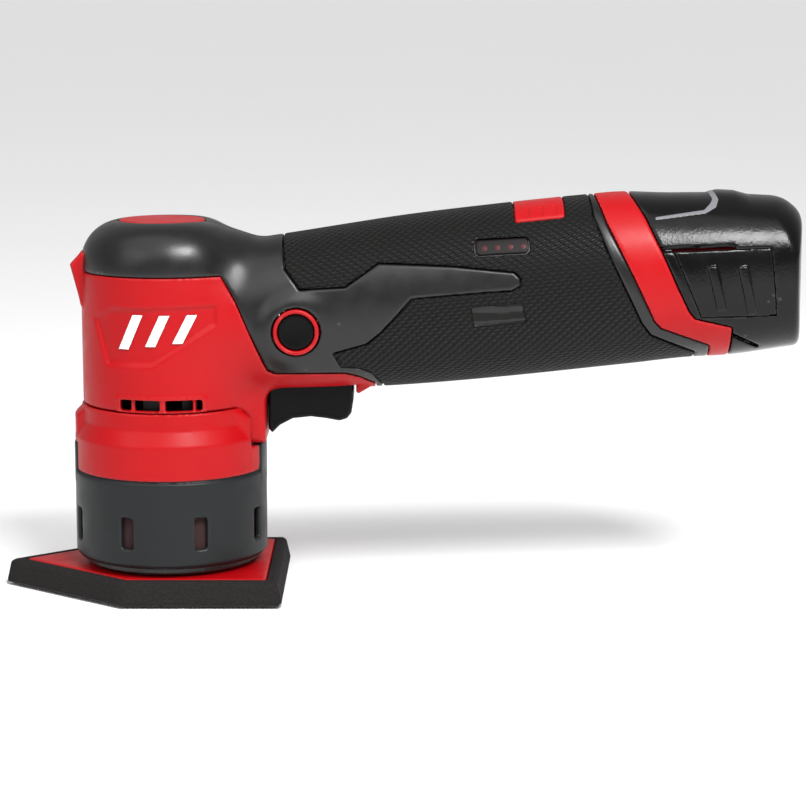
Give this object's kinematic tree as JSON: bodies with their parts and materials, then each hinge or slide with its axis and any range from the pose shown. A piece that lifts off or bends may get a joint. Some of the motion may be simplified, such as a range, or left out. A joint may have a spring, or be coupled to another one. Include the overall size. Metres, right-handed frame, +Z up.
{
  "type": "cordless detail sander",
  "caption": "Cordless orbital detail sander: upright motor head over a pointed sanding pad, with a rearward grip, paddle trigger and slide-in battery.",
  "frame": {"origin": "on the motor axis, at the underside of the sanding pad's hook sheet", "axes": "+X from the head towards the battery, +Y towards the tool's right side, +Z up along the motor axis, away from the work"},
  "size_m": [0.2616, 0.07, 0.1297],
  "materials": {
    "red_plastic": "satin moulded red nylon with a fine spark texture",
    "dark_red_plastic": "moulded red nylon, deep in shade",
    "skirt_plastic": "dark grey moulded plastic with a fine spark texture",
    "grip_rubber": "soft satin overmoulded rubber, woven texture on the handle",
    "foam": "dense closed-cell foam, matt",
    "hook_fabric": "fine plastic hooks",
    "black_plastic": "satin black moulded plastic",
    "battery_plastic": "gloss black moulded plastic with fine grain",
    "gauge_lens": "smoked red window",
    "steel": "bright turned steel",
    "laminated_iron": "dull laminations",
    "cast_alloy": "die cast",
    "copper": "enamelled copper wire",
    "circuit_board": "green board under clear coat",
    "cell_wrap": "shrink wrap",
    "brass": "plain brass alloy"
  },
  "bodies": {
    "housing": {"left_housing": "red_plastic", "right_housing": "red_plastic", "left_grip": "grip_rubber", "right_grip": "grip_rubber", "top_badge": "red_plastic", "top_insert": "red_plastic", "gauge_window": "gauge_lens", "dust_skirt": "skirt_plastic", "skirt_liner": "dark_red_plastic", "dust_seal": "grip_rubber", "lower_collar": "red_plastic", "bearing_bracket": "cast_alloy", "lower_bearing": "steel", "upper_bearing": "steel", "upper_bearing_holder": "cast_alloy", "stator_core": "laminated_iron", "lower_windings": "copper", "upper_windings": "copper", "sensor_board": "circuit_board", "switch_body": "black_plastic", "control_board": "circuit_board", "terminal_block": "black_plastic", "contact_blade_1": "brass", "contact_blade_2": "brass", "contact_blade_3": "brass", "left_lock_ring": "red_plastic", "right_lock_ring": "red_plastic", "housing_screw_1": "steel", "housing_screw_2": "steel", "housing_screw_3": "steel", "housing_screw_4": "steel", "trigger_spring": "steel"},
    "rotor": {"rotor_shaft": "steel", "rotor_magnets": "laminated_iron", "cooling_fan": "black_plastic", "eccentric_hub": "steel", "counterweight": "brass", "spindle_screw": "steel"},
    "pad": {"hook_sheet": "hook_fabric", "foam_pad": "foam", "backing_plate": "red_plastic", "pad_hub": "cast_alloy", "output_bearing": "steel", "pad_screw_1": "steel", "pad_screw_2": "steel", "pad_screw_3": "steel", "pad_leg_1": "grip_rubber", "pad_leg_2": "grip_rubber", "pad_leg_3": "grip_rubber", "pad_leg_4": "grip_rubber"},
    "trigger": {"trigger": "black_plastic"},
    "lock_bolt": {"lock_bolt": "black_plastic"},
    "battery": {"battery_case": "battery_plastic", "battery_end_cap": "battery_plastic", "cell_1": "cell_wrap", "cell_2": "cell_wrap", "cell_3": "cell_wrap", "battery_contacts": "brass"},
    "left_latch": {"left_latch": "battery_plastic"},
    "right_latch": {"right_latch": "battery_plastic"}
  },
  "joints": [
    {"name": "rotor_spin", "type": "hinge", "parent": "housing", "child": "rotor", "pos_m": [0, 0, 0.05], "axis": [0, 0, 1], "continuous": true},
    {"name": "pad_orbit", "type": "hinge", "parent": "rotor", "child": "pad", "pos_m": [0.0012, 0, 0.01], "axis": [0, 0, 1], "continuous": true},
    {"name": "trigger_pull", "type": "slide", "parent": "housing", "child": "trigger", "axis": [0, 0, 1], "range_m": [0, 0.005], "stiffness_N_per_m": 700, "springref_m": -0.002, "deforming": ["trigger_spring"]},
    {"name": "lock_slide", "type": "slide", "parent": "housing", "child": "lock_bolt", "axis": [0, -1, 0], "range_m": [0, 0.004]},
    {"name": "battery_slide", "type": "slide", "parent": "housing", "child": "battery", "axis": [0.9942, 0, 0.108], "range_m": [0, 0.075]},
    {"name": "left_latch_press", "type": "slide", "parent": "battery", "child": "left_latch", "axis": [0, 1, 0], "range_m": [0, 0.0018], "stiffness_N_per_m": 1200, "springref_m": -0.001},
    {"name": "right_latch_press", "type": "slide", "parent": "battery", "child": "right_latch", "axis": [0, -1, 0], "range_m": [0, 0.0018], "stiffness_N_per_m": 1200, "springref_m": -0.001}
  ],
  "couplings": [
    {"joint": "pad_orbit", "follows": "rotor_spin", "ratio": -1}
  ]
}
